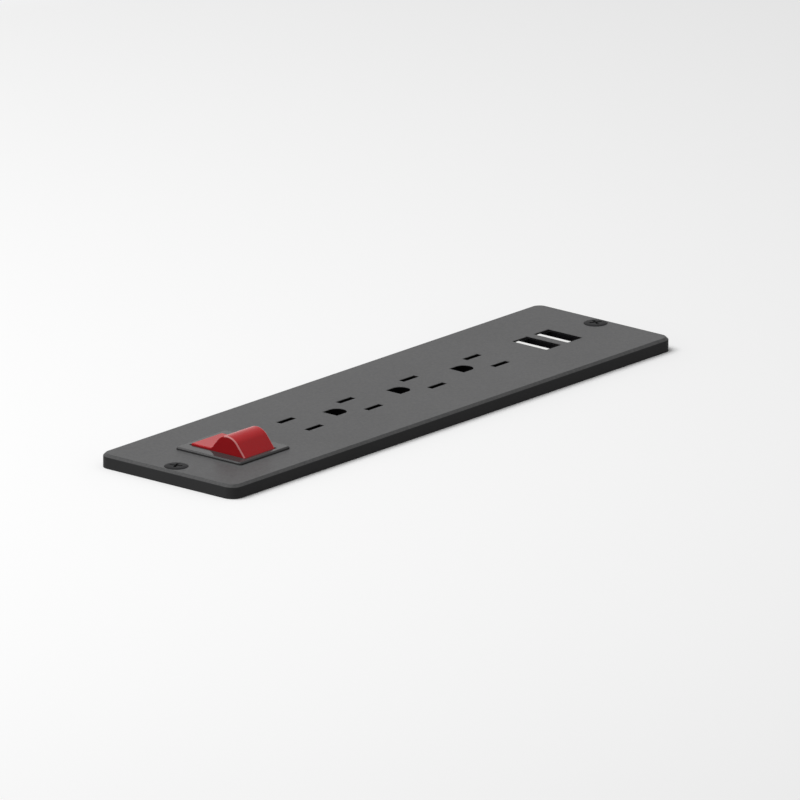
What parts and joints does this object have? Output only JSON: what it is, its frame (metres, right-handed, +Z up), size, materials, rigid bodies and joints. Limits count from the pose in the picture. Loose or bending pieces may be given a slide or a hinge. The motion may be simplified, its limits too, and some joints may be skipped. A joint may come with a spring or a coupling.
{
  "type": "desk power strip",
  "caption": "Recessed desk power strip: flanged grey plate with a red rocker switch, blade outlets, USB charging ports and a wiring tub that drops through the desk.",
  "frame": {"origin": "middle of the flange underside, on the desk top", "axes": "+X along the strip from the switch to the USB ports, +Y to the back, +Z up out of the desk"},
  "size_m": [0.2328, 0.061, 0.0482],
  "materials": {
    "face_plastic": "satin dark grey moulded plastic",
    "housing_plastic": "matt black moulded plastic",
    "bezel_plastic": "satin dark grey moulded plastic",
    "rocker_red": "glossy red",
    "screw_black": "dark oxide finish",
    "plated_steel": "bright plated",
    "dark_plating": "black nickel plating",
    "brass": "plain strip",
    "copper": "copper strip",
    "carrier_plastic": "cream moulded plastic",
    "nylon": "natural nylon",
    "black_plastic": "black moulded plastic",
    "white_plastic": "white moulded plastic",
    "board_green": "green solder mask",
    "ferrite": "sintered ferrite",
    "winding_tape": "yellow tape over the winding",
    "capacitor_sleeve": "dark blue sleeve",
    "black_insulation": "black insulation",
    "white_insulation": "white insulation"
  },
  "bodies": {
    "base": {"faceplate": "face_plastic", "rear_housing": "housing_plastic", "mounting_screws": "screw_black", "housing_screws": "plated_steel", "carrier_screws": "plated_steel", "contact_carrier": "carrier_plastic", "live_bus_bar": "brass", "neutral_bus_bar": "brass", "ground_bus_bar": "brass", "switch_housing": "bezel_plastic", "common_terminals": "brass", "switched_terminals": "brass", "usb_surround": "black_plastic", "usb_shells": "dark_plating", "usb_tongues": "white_plastic", "usb_bars": "white_plastic", "usb_contacts": "brass", "charger_board": "board_green", "board_screws": "plated_steel", "transformer_core": "ferrite", "transformer_winding": "winding_tape", "smoothing_capacitors": "capacitor_sleeve", "rectifier": "black_plastic", "controller_chip": "black_plastic", "live_lead": "black_insulation", "neutral_lead": "white_insulation", "charger_live_lead": "black_insulation", "charger_neutral_lead": "white_insulation"},
    "rocker": {"rocker": "rocker_red", "plungers": "nylon", "plunger_springs": "plated_steel"},
    "left_lever": {"left_contact_lever": "copper"},
    "right_lever": {"right_contact_lever": "copper"}
  },
  "joints": [
    {"name": "rocker_tilt", "type": "hinge", "parent": "base", "child": "rocker", "pos_m": [-0.08345, -0.0018, 0.0039], "axis": [1, 0, 0], "range_deg": [0, 20]},
    {"name": "left_lever_tilt", "type": "hinge", "parent": "base", "child": "left_lever", "pos_m": [-0.08775, -0.0018, -0.01], "axis": [1, 0, 0], "range_deg": [-16, 0]},
    {"name": "right_lever_tilt", "type": "hinge", "parent": "base", "child": "right_lever", "pos_m": [-0.07915, -0.0018, -0.01], "axis": [1, 0, 0], "range_deg": [-16, 0]}
  ],
  "couplings": [
    {"joint": "left_lever_tilt", "follows": "rocker_tilt", "ratio": -0.8},
    {"joint": "right_lever_tilt", "follows": "rocker_tilt", "ratio": -0.8}
  ]
}
